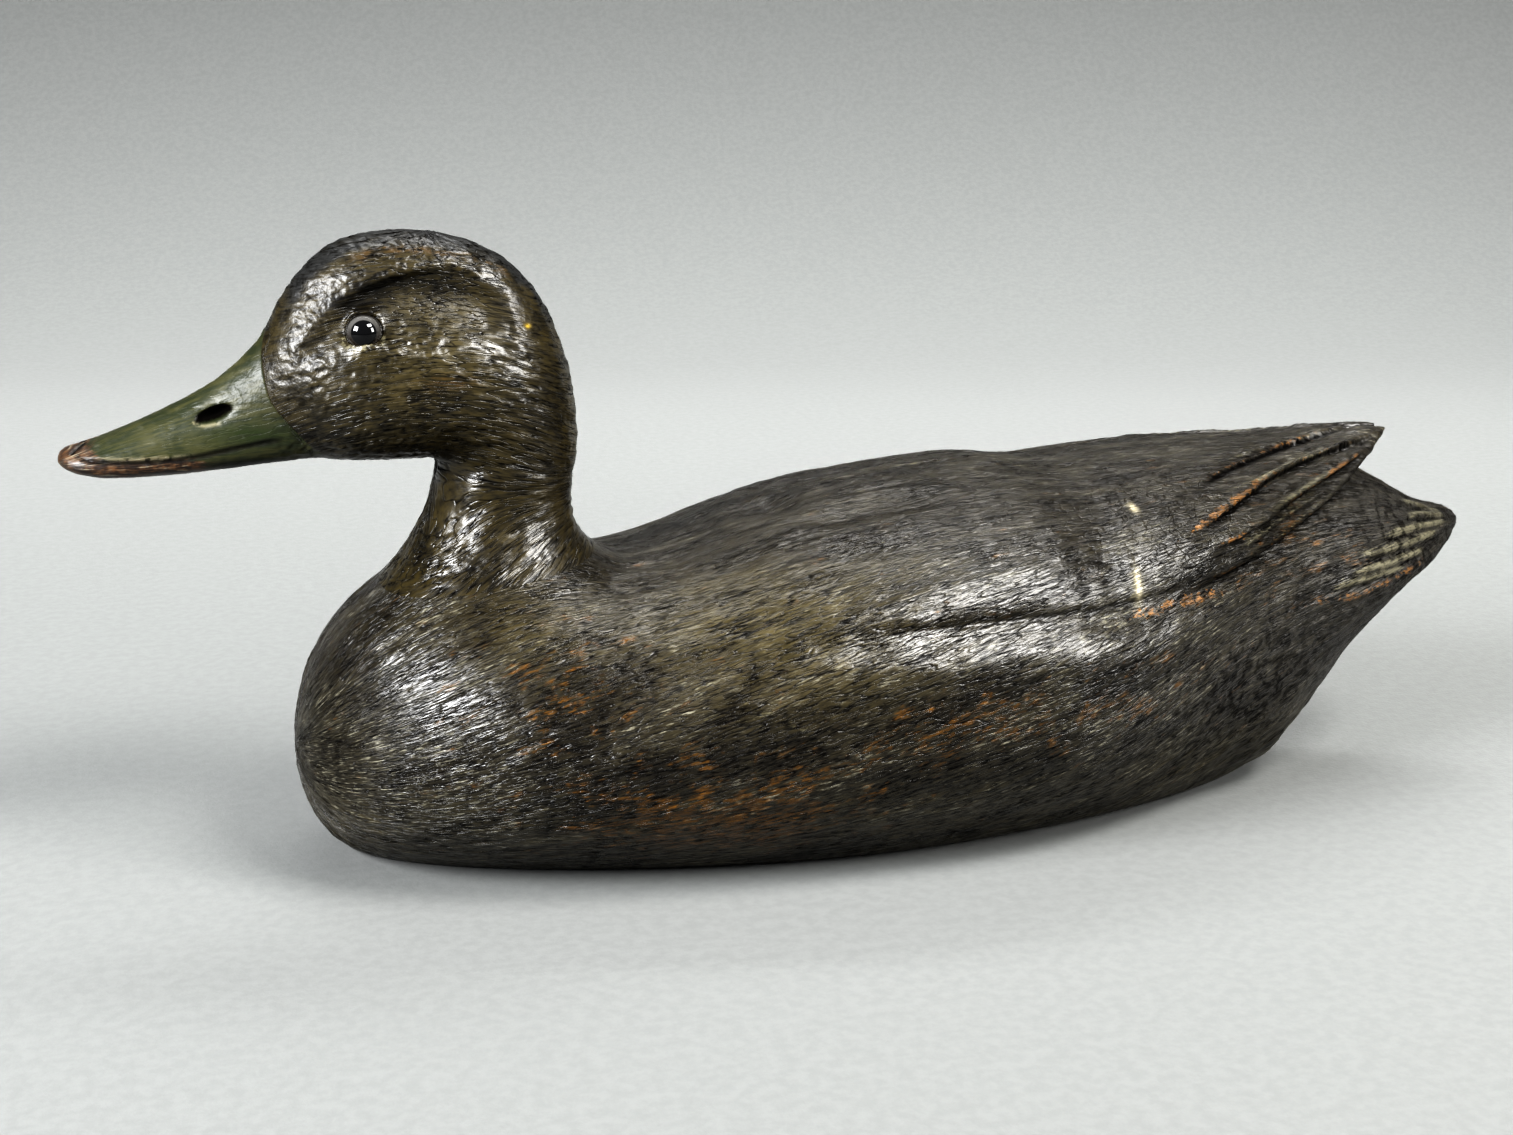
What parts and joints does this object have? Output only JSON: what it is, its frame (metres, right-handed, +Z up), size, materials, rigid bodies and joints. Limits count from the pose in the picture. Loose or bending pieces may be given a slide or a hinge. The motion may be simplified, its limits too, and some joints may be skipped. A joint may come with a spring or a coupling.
{
  "type": "duck decoy",
  "caption": "Carved and painted wooden black duck decoy with raised wing tips, a fluted tail, a separate head and glass eyes; stands on its flat base.",
  "frame": {"origin": "on the flat base, under the middle of the object's box", "axes": "+X towards the tail, along the body; bill towards -X; +Z up from the flat base"},
  "size_m": [0.441, 0.1584, 0.1832],
  "materials": {
    "body_paint": "worn dark brown-grey oil paint over rasped wood, bare orange wood at the worn edges",
    "head_paint": "olive-brown oil paint with fine dark streaks, dark crown, olive-green bill, glossy on the high places",
    "eye_glass": "polished glass eye with a black pupil and a grey-hazel rim"
  },
  "bodies": {
    "root": {"body": "body_paint", "head": "head_paint", "left_eye": "eye_glass", "right_eye": "eye_glass"}
  },
  "joints": []
}
